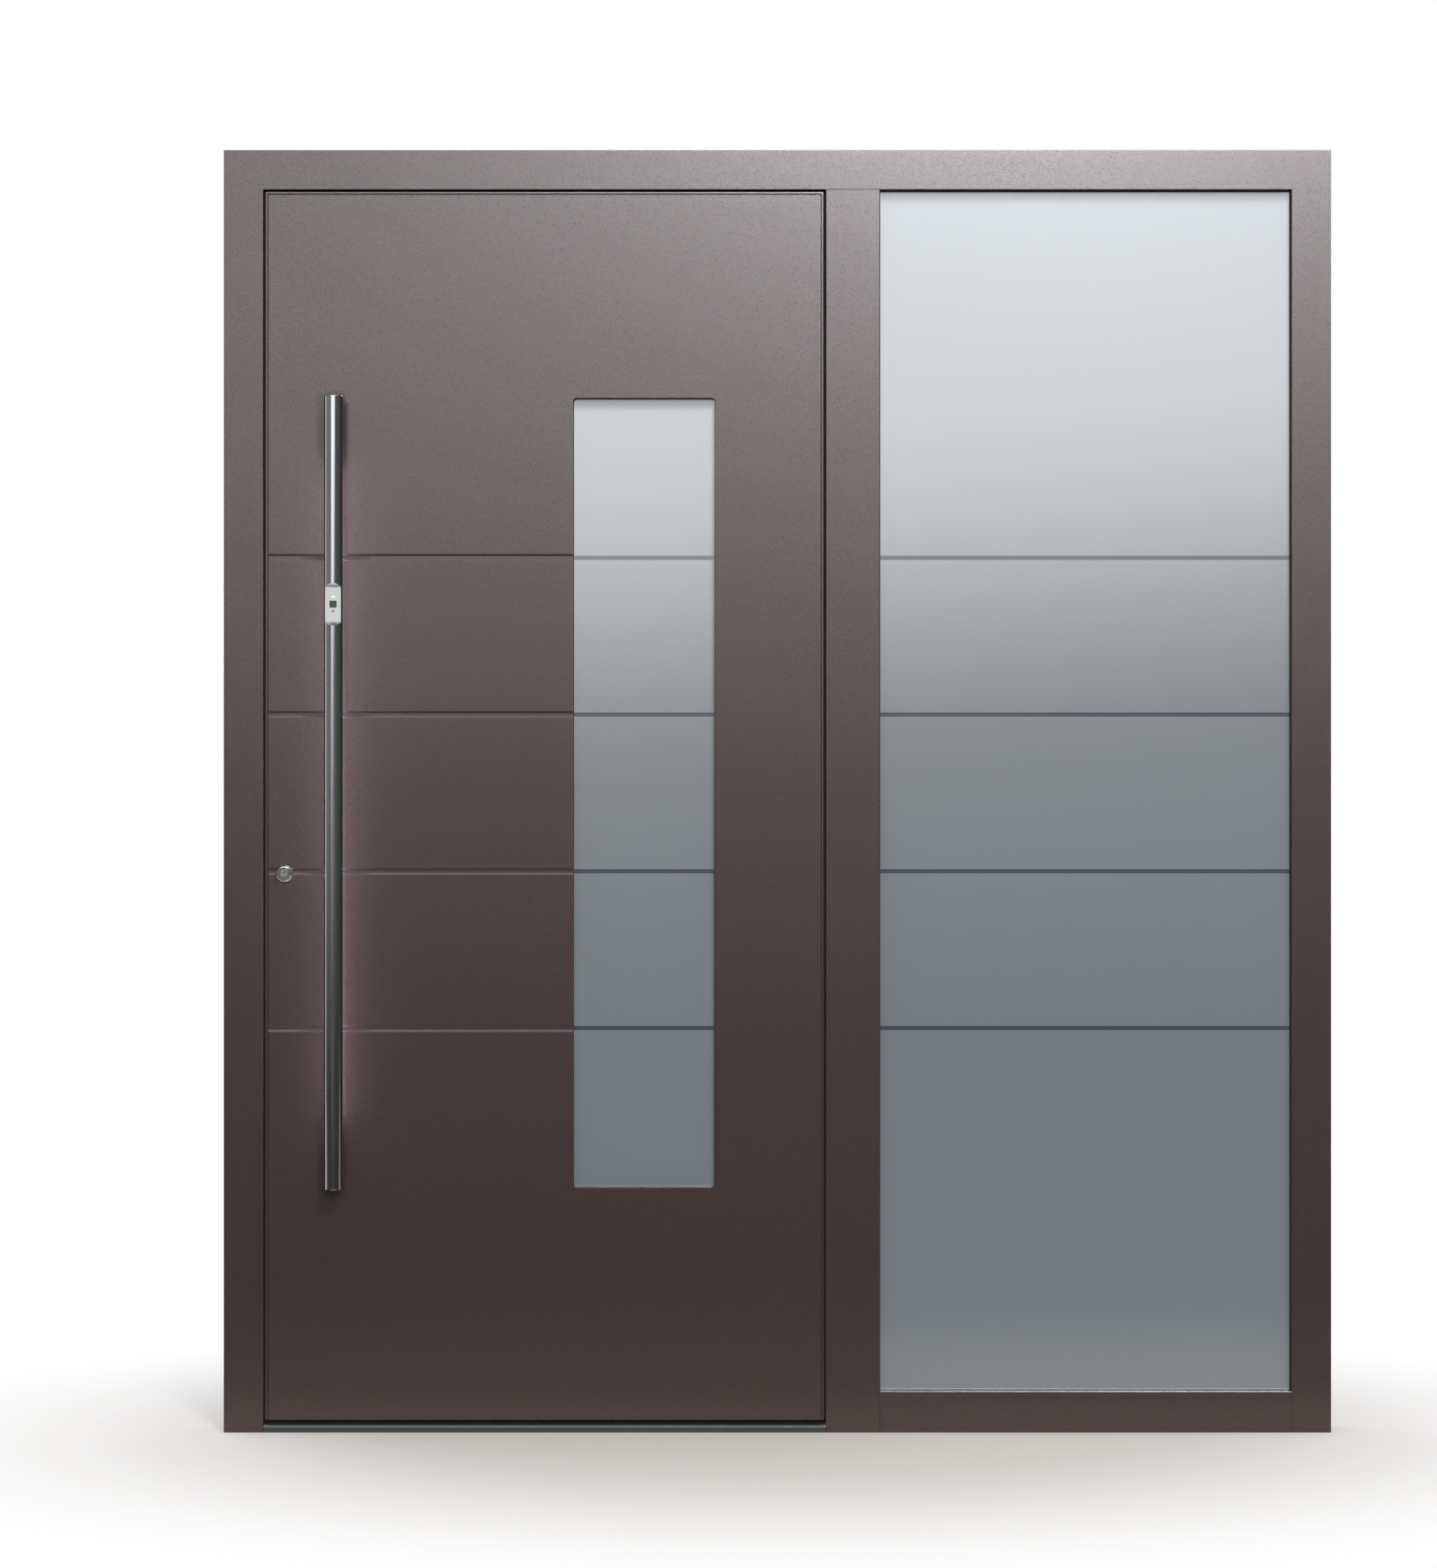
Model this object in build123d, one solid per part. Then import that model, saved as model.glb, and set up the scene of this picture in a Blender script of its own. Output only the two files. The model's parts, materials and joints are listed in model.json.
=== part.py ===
from build123d import *
import os

# Entrance door with a fixed glazed side panel, in millimetres.
# +X runs to the right as seen from the street, +Y into the house and +Z up.
# The origin lies on the underside of the threshold, at the middle of the frame.

# Frame members
frame_width = 1900.0
frame_height = 2200.0
frame_depth = 90.0
jamb_face = 68.0
sill_rail_face = 71.0
mullion_face = 93.0
door_opening = 965.0
flange_depth = 16.0
rebate = 20.0
profile_radius = 1.2

# Screw holes through the frame to the wall
fixing_bore = 8.0
fixing_y = 10.0
fixing_count = 4
fixing_from_end = 200.0
head_fixing_from_corner = 500.0

# Threshold
threshold_base_height = 9.0
threshold_rail_thickness = 4.0
threshold_nose_chamfer = 3.2

# Door leaf
leaf_gap = 3.4
leaf_edge_gap = 8.0
stop_gap = 6.0
leaf_bottom_gap = 9.0
stile_width = 84.0
bottom_rail_height = 110.0
sheet_thickness = 4.0
edge_lip = 3.4
sheet_joint = 2.0

# Milled grooves in the outer sheet
groove_width = 11.6
groove_floor = 4.0
groove_depth = 2.4
groove_pitch = 269.5
lowest_groove = 693.0
groove_count = 4

# Window in the leaf
window_width = 244.0
window_height = 1354.6
window_from_hinge_edge = 186.2
window_low = 420.4
window_corner = 6.0
window_rebate = 16.0
liner_width = 26.0
trim_joint = 0.8
trim_chamfer = 3.0

# Insulating glass, from the outer pane inwards
outer_pane = 6.0
middle_pane = 4.0
inner_pane = 6.0
pane_cavity = 16.0
glass_edge_gap = 4.0
spacer_width = 9.0
outer_glazing_seal = 4.0
inner_glazing_seal = 3.0
glazing_seal_cover = 9.0
glazing_seal_show = 1.0
bead_radius = 4.0

# Door seals
leaf_seal_thickness = 3.0
leaf_seal_width = 13.0
stop_seal_thickness = 2.6
stop_seal_width = 13.0
stop_seal_inset = 3.0
bottom_seal_thickness = 8.0
bottom_seal_setback = 15.0
seal_clearance = 0.5

# Bar handle with a light behind it, nearly as long as the window is high
bar_diameter = 32.0
bar_setback = 121.4
bar_short_of_window = 1.3
bar_standoff = 60.0
bar_cap_thickness = 4.0
bar_cap_chamfer = 1.0
post_diameter = 20.0
post_from_end = 84.0
post_seat_depth = 6.0
post_clearance = 0.1
light_width = 11.0
light_depth = 5.0
light_from_post = 30.0
light_clearance = 0.2

# Fingerprint reader let into the bar
reader_below_top = 355.7
reader_length = 59.0
reader_thickness = 4.0
reader_flat = 8.7
reader_clearance = 0.15
reader_scoop = 6.5
reader_well_width = 19.5
reader_well_length = 44.0
reader_well_depth = 0.9
sensor_width = 12.4
sensor_height = 12.0
sensor_offset = 0.6
sensor_depth = 2.0
sensor_corner = 1.6
sensor_rim = 2.2
sensor_rim_height = 0.6
lamp_width = 6.4
lamp_height = 3.0
lamp_offset = 13.5
lamp_depth = 1.6

# Lock, whose key plug sits high in the dished rosette
lock_backset = 48.0
lock_z = 958.0
rosette_diameter = 30.0
rosette_height = 9.0
rosette_side = 2.0
rosette_crest = 23.0
dome_steps = 4
dish_diameter = 22.0
dish_floor = 19.6
dish_depth = 3.0
plug_above_rosette = 2.5
plug_diameter = 14.0
plug_proud = 0.8
plug_length = 32.0
plug_clearance = 0.08
key_slot_width = 2.4
key_slot_height = 8.6
key_slot_depth = 6.0
key_slot_turn = 35.0

# Inner lever, with its spindle above the lock
lever_above_lock = 92.0
rose_diameter = 52.0
rose_height = 8.0
rose_chamfer = 1.5
lever_diameter = 20.0
lever_standoff = 50.0
lever_length = 125.0
lever_tip_chamfer = 1.5
inner_plug_diameter = 17.0
inner_plug_height = 3.0
inner_key_slot_turn = 90.0

# Multi-point lock on the leaf edge and its keeps in the jamb
faceplate_thickness = 3.0
faceplate_width = 24.0
faceplate_y = 12.0
faceplate_from_end = 200.0
bolt_depth = 14.0
bolt_clearance = 0.3
latch_above_lever = 10.0
latch_size = (16.0, 32.0)
dead_bolt_above_lock = 27.0
dead_bolt_size = (18.0, 38.0)
hook_size = (14.0, 46.0)
hook_from_faceplate_end = 180.0
keep_margin = 26.0
keep_mouth_clearance = 2.0
keep_pocket_depth = 18.0

# Barrel hinges on the inner face
hinge_standoff = 12.0
hinge_barrel = 22.0
hinge_height = 110.0
hinge_leaf_knuckle = 50.0
hinge_count = 3
hinge_from_end = 240.0
hinge_plate_width = 38.0
hinge_plate_thickness = 6.0
hinge_plate_start = 13.0
hinge_pin = 12.0
hinge_pin_clearance = 0.08
hinge_knuckle_gap = 0.6
hinge_cap_height = 3.0

# Planes and edges that the members share
outer_y = -frame_depth / 2
inner_y = frame_depth / 2
stop_y = outer_y + flange_depth
step_y = stop_y + stop_gap
frame_left = -frame_width / 2
frame_right = frame_width / 2
door_left = frame_left + jamb_face
door_right = door_left + door_opening
side_left = door_right + mullion_face
side_right = frame_right - jamb_face
head_low = frame_height - jamb_face
threshold_top = threshold_base_height + threshold_rail_thickness

leaf_left = door_left + leaf_gap
leaf_right = door_right - leaf_gap
leaf_top = head_low - leaf_gap
leaf_low = threshold_top + leaf_bottom_gap
leaf_back_left = door_left - rebate + leaf_edge_gap
leaf_back_right = door_right + rebate - leaf_edge_gap
leaf_back_top = head_low + rebate - leaf_edge_gap
sheet_inset = edge_lip + sheet_joint
outer_sheet_back = outer_y + sheet_thickness
inner_sheet_back = inner_y - sheet_thickness

glass_y = stop_y + outer_glazing_seal
outer_pane_back = glass_y + outer_pane
middle_pane_front = outer_pane_back + pane_cavity
middle_pane_back = middle_pane_front + middle_pane
inner_pane_front = middle_pane_back + pane_cavity
glass_back = inner_pane_front + inner_pane
bead_front = glass_back + inner_glazing_seal

window_right = leaf_right - window_from_hinge_edge
window_left = window_right - window_width
window_high = window_low + window_height

bar_x = leaf_left + bar_setback
bar_y = outer_y - bar_standoff
bar_low = window_low + bar_short_of_window
bar_high = window_high - bar_short_of_window
reader_z = bar_high - reader_below_top

lock_x = leaf_back_left + lock_backset
plug_z = lock_z + plug_above_rosette
lever_z = lock_z + lever_above_lock
faceplate_low = leaf_low + faceplate_from_end
faceplate_high = leaf_back_top - faceplate_from_end
hook_heights = (faceplate_low + hook_from_faceplate_end, faceplate_high - hook_from_faceplate_end)

hinge_x = door_right + rebate - leaf_edge_gap / 2
hinge_y = inner_y + hinge_standoff


def spread(low, high, count):
    """Evenly spaced places from one end to the other."""
    step = (high - low) / (count - 1)
    return [low + index * step for index in range(count)]


def upright(points, low, high):
    """Extrudes a section given as (x, y) points from one height to another."""
    return extrude(Pos(0, 0, low) * Polygon(*points, align=None), high - low, dir=(0, 0, 1))


def crosswise(points, left, right):
    """Extrudes a section given as (y, z) points from one x to another."""
    section = Plane.YZ.offset(left) * Polygon(*points, align=None)
    return extrude(section, right - left, dir=(1, 0, 0))


def sheet(outline, front, back):
    """Extrudes an outline drawn as (x, z) from one depth to another."""
    return extrude(Plane.XZ.offset(-front) * outline, back - front, dir=(0, 1, 0))


def block(x_range, y_range, z_range):
    """Box between two x, two y and two z values."""
    outline = Polygon(*rectangle_points(x_range, z_range), align=None)
    return sheet(outline, *y_range)


def rectangle_points(u_range, v_range):
    """Corners of a rectangle between two values each way."""
    (u0, u1), (v0, v1) = u_range, v_range
    return [(u0, v0), (u1, v0), (u1, v1), (u0, v1)]


def rod(x, y, low, high, diameter):
    """Upright round bar."""
    return extrude(Pos(x, y, low) * Circle(diameter / 2), high - low, dir=(0, 0, 1))


def turned(x, z, front, back, diameter):
    """Round bar lying along Y."""
    return sheet(Pos(x, z) * Circle(diameter / 2), front, back)


def with_rounded_edges(shape, places, axis, radius):
    """Rounds the edges along an axis that pass through the given (u, v) places."""
    keep = [edge for edge in shape.edges().filter_by(axis) if at_place(edge, places, axis)]
    return fillet(keep, radius)


def at_place(edge, places, axis):
    """True where an edge along an axis passes through one of the places across it."""
    middle = edge.center()
    across = {Axis.Z: (middle.X, middle.Y), Axis.X: (middle.Y, middle.Z)}[axis]
    return any(abs(across[0] - u) + abs(across[1] - v) < 0.01 for u, v in places)


def mitred(shape, corner_x, corner_z, lean, keep):
    """Cuts a member at 45 degrees across a top corner; lean is +1 on the left, -1 on the right."""
    plane = Plane(origin=(corner_x, 0, corner_z), z_dir=(lean, 0, 1))
    return split(shape, bisect_by=plane, keep=keep)


def frame_section(outside, flange_edge, inward):
    """L section of a frame member, across its width and through its depth."""
    floor = flange_edge - inward * rebate
    return [
        (outside, outer_y),
        (flange_edge, outer_y),
        (flange_edge, stop_y),
        (floor, stop_y),
        (floor, inner_y),
        (outside, inner_y),
    ]


def leaf_section(front_edge, back_edge, inward):
    """Stepped section of a leaf member, with a lip beside each of its two sheets."""
    inside = back_edge + inward * stile_width
    return [
        (front_edge, outer_y),
        (front_edge + inward * edge_lip, outer_y),
        (front_edge + inward * edge_lip, outer_sheet_back),
        (inside, outer_sheet_back),
        (inside, inner_sheet_back),
        (back_edge + inward * edge_lip, inner_sheet_back),
        (back_edge + inward * edge_lip, inner_y),
        (back_edge, inner_y),
        (back_edge, step_y),
        (front_edge, step_y),
    ]


def swapped(points):
    """Turns (across, depth) points of an upright into (depth, across) points of a rail."""
    return [(v, u) for u, v in points]


def window_sight(grow):
    """Visible opening of the leaf's window with its round corners, grown on every side."""
    middle = Pos(window_left + window_width / 2, window_low + window_height / 2)
    radius = window_corner + grow
    return middle * RectangleRounded(window_width + 2 * grow, window_height + 2 * grow, radius)


def window_outline(grow):
    """Square-cornered outline round the leaf's window, for what lies behind its opening."""
    x_range = (window_left - grow, window_right + grow)
    z_range = (window_low - grow, window_high + grow)
    return Polygon(*rectangle_points(x_range, z_range), align=None)


def side_outline(grow):
    """Visible opening of the side panel, grown on every side."""
    x_range = (side_left - grow, side_right + grow)
    z_range = (sill_rail_face - grow, head_low + grow)
    return Polygon(*rectangle_points(x_range, z_range), align=None)


# Bolts as (height, width, length), shared by the leaf edge and the keeps
bolt_places = [
    (lever_z + latch_above_lever, *latch_size),
    (lock_z + dead_bolt_above_lock, *dead_bolt_size),
    *[(height, *hook_size) for height in hook_heights],
]


def bolt_block(place, face_x, depth, clearance):
    """Space of one bolt, from a face inwards, with room all round it."""
    height, width, length = place
    half_width = width / 2 + clearance
    half_length = length / 2 + clearance
    x_range = sorted((face_x, face_x + depth))
    y_range = (faceplate_y - half_width, faceplate_y + half_width)
    return block(x_range, y_range, (height - half_length, height + half_length))


def keep_ranges():
    """Heights between which each keep plate runs: one for latch and dead bolt, one a hook."""
    latch, dead_bolt, *hooks = bolt_places
    groups = [(dead_bolt, latch), *[(hook, hook) for hook in hooks]]
    return [
        (low[0] - low[2] / 2 - keep_margin, high[0] + high[2] / 2 + keep_margin)
        for low, high in groups
    ]


def keep_plate(z_range):
    """Plate set flush in the rebate floor of the lock jamb."""
    floor = door_left - rebate
    y_range = (faceplate_y - faceplate_width / 2, faceplate_y + faceplate_width / 2)
    return block((floor - faceplate_thickness, floor), y_range, z_range)


def make_frame():
    """Jambs, head, mullion and the rail under the side panel."""
    floor = door_left - rebate
    left = upright(frame_section(frame_left, door_left, 1), 0, frame_height)
    left = with_rounded_edges(left, [(door_left, outer_y), (floor, inner_y)], Axis.Z, profile_radius)
    left = mitred(left, frame_left, frame_height, 1, Keep.BOTTOM)
    right = upright(frame_section(frame_right, side_right, -1), 0, frame_height)
    right_edges = [(side_right, outer_y), (side_right + rebate, inner_y)]
    right = with_rounded_edges(right, right_edges, Axis.Z, profile_radius)
    right = mitred(right, frame_right, frame_height, -1, Keep.BOTTOM)
    head = crosswise(swapped(frame_section(frame_height, head_low, -1)), frame_left, frame_right)
    head_edges = [(outer_y, head_low), (inner_y, head_low + rebate)]
    head = with_rounded_edges(head, head_edges, Axis.X, profile_radius)
    head = mitred(head, frame_left, frame_height, 1, Keep.TOP)
    head = mitred(head, frame_right, frame_height, -1, Keep.TOP)
    for height in spread(fixing_from_end, frame_height - fixing_from_end, fixing_count):
        bore = Plane.YZ.offset(frame_left) * Pos(fixing_y, height) * Circle(fixing_bore / 2)
        left -= extrude(bore, jamb_face, dir=(1, 0, 0))
        bore = Plane.YZ.offset(side_right) * Pos(fixing_y, height) * Circle(fixing_bore / 2)
        right -= extrude(bore, jamb_face, dir=(1, 0, 0))
    for place in (frame_left + head_fixing_from_corner, frame_right - head_fixing_from_corner):
        head -= rod(place, fixing_y, head_low, frame_height, fixing_bore)
    for z_range in keep_ranges():
        left -= keep_plate(z_range)
    for place in bolt_places:
        left -= bolt_block(place, floor, -keep_pocket_depth, keep_mouth_clearance)

    flange = upright(rectangle_points((door_right, side_left), (outer_y, stop_y)), 0, head_low)
    flange = with_rounded_edges(
        flange, [(door_right, outer_y), (side_left, outer_y)], Axis.Z, profile_radius
    )
    web_x = (door_right + rebate, side_left - rebate)
    web = upright(rectangle_points(web_x, (stop_y, inner_y)), 0, head_low + rebate)
    mullion = flange + web

    sill_flange = [(outer_y, 0), (stop_y, 0), (stop_y, sill_rail_face), (outer_y, sill_rail_face)]
    sill_front = crosswise(sill_flange, side_left, side_right)
    sill_front = with_rounded_edges(sill_front, [(outer_y, sill_rail_face)], Axis.X, profile_radius)
    sill_web = rectangle_points((stop_y, inner_y), (0, sill_rail_face - rebate))
    sill = sill_front + crosswise(sill_web, side_left - rebate, side_right + rebate)
    return {
        "left_jamb": left,
        "right_jamb": right,
        "frame_head": head,
        "mullion": mullion,
        "sidelight_sill_rail": sill,
    }


def make_threshold():
    """Dark base under a bright rail with a bevelled nose, notched round the jamb flanges."""
    floor_left = door_left - rebate
    floor_right = door_right + rebate
    plan = [
        (door_left, outer_y),
        (door_right, outer_y),
        (door_right, stop_y),
        (floor_right, stop_y),
        (floor_right, inner_y),
        (floor_left, inner_y),
        (floor_left, stop_y),
        (door_left, stop_y),
    ]
    base = upright(plan, 0, threshold_base_height)
    nose = threshold_nose_chamfer
    section = [
        (outer_y, threshold_base_height),
        (inner_y, threshold_base_height),
        (inner_y, threshold_top),
        (outer_y + nose, threshold_top),
        (outer_y, threshold_top - nose),
    ]
    rail = upright(plan, threshold_base_height, threshold_top) & crosswise(section, floor_left, floor_right)
    return {"threshold_base": base, "threshold_rail": rail}


def make_glazing(name, outline, sight, edge):
    """Three panes on two spacers between two seals; edge is how far the glass runs past the opening."""
    pane = outline(edge)
    spacer = pane - outline(edge - spacer_width)
    seal = outline(glazing_seal_cover) - sight(-glazing_seal_show)
    spacers = [
        sheet(spacer, outer_pane_back, middle_pane_front),
        sheet(spacer, middle_pane_back, inner_pane_front),
    ]
    seals = [sheet(seal, stop_y, glass_y), sheet(seal, glass_back, bead_front)]
    return {
        name + "_outer_pane": sheet(pane, glass_y, outer_pane_back),
        name + "_middle_pane": sheet(pane, middle_pane_front, middle_pane_back),
        name + "_inner_pane": sheet(pane, inner_pane_front, glass_back),
        name + "_spacers": Compound(children=spacers),
        name + "_seals": Compound(children=seals),
    }


def bead_section(floor, inward):
    """Glazing bead across its height and depth, with its room-side edge rounded."""
    top = floor + inward * rebate
    return [(floor, bead_front), (top, bead_front), (top, inner_y), (floor, inner_y)], (top, inner_y)


def make_sidelight():
    """Fixed glass of the side panel and the beads that hold it from the room side."""
    pieces = make_glazing("sidelight", side_outline, side_outline, rebate - glass_edge_gap)
    uprights = []
    for floor, inward in ((side_left - rebate, 1), (side_right + rebate, -1)):
        section, edge = bead_section(floor, inward)
        bead = upright(section, sill_rail_face, head_low)
        uprights.append(with_rounded_edges(bead, [edge], Axis.Z, bead_radius))
    rails = []
    for floor, inward in ((sill_rail_face - rebate, 1), (head_low + rebate, -1)):
        section, edge = bead_section(floor, inward)
        bead = crosswise(swapped(section), side_left - rebate, side_right + rebate)
        rails.append(with_rounded_edges(bead, [edge[::-1]], Axis.X, bead_radius))
    pieces["sidelight_side_beads"] = Compound(children=uprights)
    pieces["sidelight_end_beads"] = Compound(children=rails)
    return pieces


def make_leaf():
    """Mitred edge frame of the leaf, its two sheets and the bottom rail."""
    lock_stile = upright(leaf_section(leaf_left, leaf_back_left, 1), leaf_low, leaf_back_top)
    lock_edges = [(leaf_left, outer_y), (leaf_back_left, inner_y)]
    lock_stile = with_rounded_edges(lock_stile, lock_edges, Axis.Z, profile_radius)
    lock_stile = mitred(lock_stile, leaf_back_left, leaf_back_top, 1, Keep.BOTTOM)
    lock_stile -= faceplate_block()
    for place in bolt_places:
        lock_stile -= bolt_block(place, leaf_back_left, bolt_depth, bolt_clearance)
    lock_stile -= turned(lock_x, plug_z, outer_sheet_back, inner_sheet_back, bore_for_plug())

    hinge_stile = upright(leaf_section(leaf_right, leaf_back_right, -1), leaf_low, leaf_back_top)
    hinge_edges = [(leaf_right, outer_y), (leaf_back_right, inner_y)]
    hinge_stile = with_rounded_edges(hinge_stile, hinge_edges, Axis.Z, profile_radius)
    hinge_stile = mitred(hinge_stile, leaf_back_right, leaf_back_top, -1, Keep.BOTTOM)

    rail_section = swapped(leaf_section(leaf_top, leaf_back_top, -1))
    top_rail = crosswise(rail_section, leaf_back_left, leaf_back_right)
    top_edges = [(outer_y, leaf_top), (inner_y, leaf_back_top)]
    top_rail = with_rounded_edges(top_rail, top_edges, Axis.X, profile_radius)
    top_rail = mitred(top_rail, leaf_back_left, leaf_back_top, 1, Keep.TOP)
    top_rail = mitred(top_rail, leaf_back_right, leaf_back_top, -1, Keep.TOP)

    rail_x = (leaf_back_left + stile_width, leaf_back_right - stile_width)
    rail_y = (outer_sheet_back, inner_sheet_back)
    bottom_rail = block(rail_x, rail_y, (leaf_low, leaf_low + bottom_rail_height))

    outer_x = (leaf_left + sheet_inset, leaf_right - sheet_inset)
    outer_outline = Polygon(*rectangle_points(outer_x, (leaf_low, leaf_top - sheet_inset)), align=None)
    outer_panel = sheet(outer_outline - window_sight(0), outer_y, outer_sheet_back)
    for index in range(groove_count):
        middle = lowest_groove + index * groove_pitch
        section = [
            (outer_y, middle - groove_width / 2),
            (outer_y, middle + groove_width / 2),
            (outer_y + groove_depth, middle + groove_floor / 2),
            (outer_y + groove_depth, middle - groove_floor / 2),
        ]
        outer_panel -= crosswise(section, outer_x[0], window_left + window_width / 2)
    outer_panel -= turned(lock_x, plug_z, outer_y, outer_sheet_back, bore_for_plug())

    inner_x = (leaf_back_left + sheet_inset, leaf_back_right - sheet_inset)
    inner_outline = Polygon(*rectangle_points(inner_x, (leaf_low, leaf_back_top - sheet_inset)), align=None)
    inner_panel = sheet(inner_outline - window_outline(window_rebate), inner_sheet_back, inner_y)

    liner = sheet(window_outline(liner_width) - window_sight(0), outer_sheet_back, stop_y)
    liner += sheet(window_outline(liner_width) - window_outline(window_rebate), stop_y, inner_sheet_back)
    trim = sheet(window_outline(window_rebate - trim_joint) - window_sight(0), bead_front, inner_y)
    room_face = trim.faces().sort_by(Axis.Y)[-1]
    trim = chamfer(room_face.inner_wires()[0].edges(), trim_chamfer)
    pieces = {
        "leaf_lock_stile": lock_stile,
        "leaf_hinge_stile": hinge_stile,
        "leaf_top_rail": top_rail,
        "leaf_bottom_rail": bottom_rail,
        "leaf_outer_panel": outer_panel,
        "leaf_inner_panel": inner_panel,
        "leaf_window_liner": liner,
        "leaf_window_trim": trim,
    }
    pieces.update(make_glazing("leaf_window", window_outline, window_sight, window_rebate - glass_edge_gap))
    return pieces


def door_arch(inset, width, front, back, low):
    """Strip up one side of the door, over its head and down the other; inset from the flange edge."""
    outside = inset + width
    outer_x = (door_left - outside, door_right + outside)
    inner_x = (door_left - inset, door_right + inset)
    arch = Polygon(*rectangle_points(outer_x, (low, head_low + outside)), align=None)
    arch -= Polygon(*rectangle_points(inner_x, (low, head_low + inset)), align=None)
    return sheet(arch, front, back)


def make_seals():
    """Seals of the door: on the frame's flange, on the leaf's step and under the leaf."""
    stop_seal_back = stop_y + stop_seal_thickness
    stop_seal = door_arch(stop_seal_inset, stop_seal_width, stop_y, stop_seal_back, threshold_top)
    seal_low = threshold_top + seal_clearance
    leaf_seal = door_arch(-leaf_gap, leaf_seal_width, step_y - leaf_seal_thickness, step_y, seal_low)
    seal_front = outer_y + bottom_seal_setback
    seal_y = (seal_front, seal_front + bottom_seal_thickness)
    bottom_seal = block((leaf_left, leaf_right), seal_y, (seal_low, leaf_low))
    return {
        "frame_stop_seal": stop_seal,
        "leaf_seal": leaf_seal,
        "leaf_bottom_seal": bottom_seal,
    }


def make_handle():
    """Round bar on two posts, with a light strip in its back and a scoop for the reader."""
    bar_middle = (bar_low + bar_cap_thickness, bar_high - bar_cap_thickness)
    bar = rod(bar_x, bar_y, *bar_middle, bar_diameter)
    post_heights = (bar_low + post_from_end, bar_high - post_from_end)
    seat_y = bar_y + bar_diameter / 2 - post_seat_depth
    posts = []
    for height in post_heights:
        bar -= turned(bar_x, height, seat_y, bar_y + bar_diameter, post_diameter + 2 * post_clearance)
        posts.append(turned(bar_x, height, seat_y, outer_y, post_diameter))

    light_z = (post_heights[0] + light_from_post, post_heights[1] - light_from_post)
    light_back = bar_y + ((bar_diameter / 2) ** 2 - (light_width / 2) ** 2) ** 0.5
    light_y = (light_back - light_depth, light_back)
    room = light_clearance
    slot_x = (bar_x - light_width / 2 - room, bar_x + light_width / 2 + room)
    slot_z = (light_z[0] - room, light_z[1] + room)
    bar -= block(slot_x, (light_y[0], bar_y + bar_diameter), slot_z)
    light = block((bar_x - light_width / 2, bar_x + light_width / 2), light_y, light_z)

    flat_y = bar_y - reader_flat
    half = reader_length / 2 + reader_clearance
    front_y = bar_y - bar_diameter / 2
    scoop = [
        (flat_y, reader_z - half),
        (flat_y, reader_z + half),
        (front_y, reader_z + half + reader_scoop),
        (front_y, reader_z - half - reader_scoop),
    ]
    side_x = (bar_x - bar_diameter, bar_x + bar_diameter)
    bar -= crosswise(scoop, *side_x)
    seat = (flat_y, flat_y + reader_thickness)
    bar -= block(side_x, seat, (reader_z - half, reader_z + half))

    end_caps = []
    for end, joint, face in ((bar_low, bar_middle[0], 0), (bar_high, bar_middle[1], -1)):
        cap = rod(bar_x, bar_y, *sorted((end, joint)), bar_diameter)
        rim = cap.faces().sort_by(Axis.Z)[face].edges()
        end_caps.append(chamfer(rim, bar_cap_chamfer))
    return {
        "handle_bar": bar,
        "handle_posts": Compound(children=posts),
        "handle_end_caps": Compound(children=end_caps),
        "handle_light_strip": light,
        **make_reader(flat_y),
    }


def centred_block(width, height, z, y_range, corner):
    """Plate with rounded corners on the bar's centre line."""
    return sheet(Pos(bar_x, z) * RectangleRounded(width, height, corner), *y_range)


def make_reader(flat_y):
    """Housing that completes the bar's round sides, with a finger well, a sensor and a lamp."""
    z_range = (reader_z - reader_length / 2, reader_z + reader_length / 2)
    slab = block((bar_x - bar_diameter, bar_x + bar_diameter), (flat_y, flat_y + reader_thickness), z_range)
    housing = slab & rod(bar_x, bar_y, *z_range, bar_diameter)
    well_floor = flat_y + reader_well_depth
    well_size = (reader_well_width, reader_well_length)
    housing -= centred_block(*well_size, reader_z, (flat_y, well_floor), sensor_corner)
    sensor_z = reader_z + sensor_offset
    rim_y = (well_floor - sensor_rim_height, well_floor)
    rim_size = (sensor_width + 2 * sensor_rim, sensor_height + 2 * sensor_rim)
    housing += centred_block(*rim_size, sensor_z, rim_y, sensor_corner + sensor_rim)
    sensor_y = (well_floor, well_floor + sensor_depth)
    hole_y = (rim_y[0], sensor_y[1])
    housing -= centred_block(sensor_width, sensor_height, sensor_z, hole_y, sensor_corner)
    sensor = centred_block(sensor_width, sensor_height, sensor_z, sensor_y, sensor_corner)
    lamp_z = reader_z + lamp_offset
    lamp_y = (well_floor, well_floor + lamp_depth)
    lamp_corner = lamp_height / 2 - reader_clearance
    housing -= centred_block(lamp_width, lamp_height, lamp_z, lamp_y, lamp_corner)
    lamp = centred_block(lamp_width, lamp_height, lamp_z, lamp_y, lamp_corner)
    return {"reader_housing": housing, "reader_sensor": sensor, "reader_lamp": lamp}


def bore_for_plug():
    """Bore in which the key plug turns."""
    return plug_diameter + 2 * plug_clearance


def key_slot(turn, front):
    """Space of a key slot on the plug's axis, from its street side inwards."""
    slot = Pos(lock_x, plug_z) * Rot(0, 0, turn) * SlotOverall(key_slot_height, key_slot_width)
    return sheet(slot, front, front + key_slot_depth)


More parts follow.
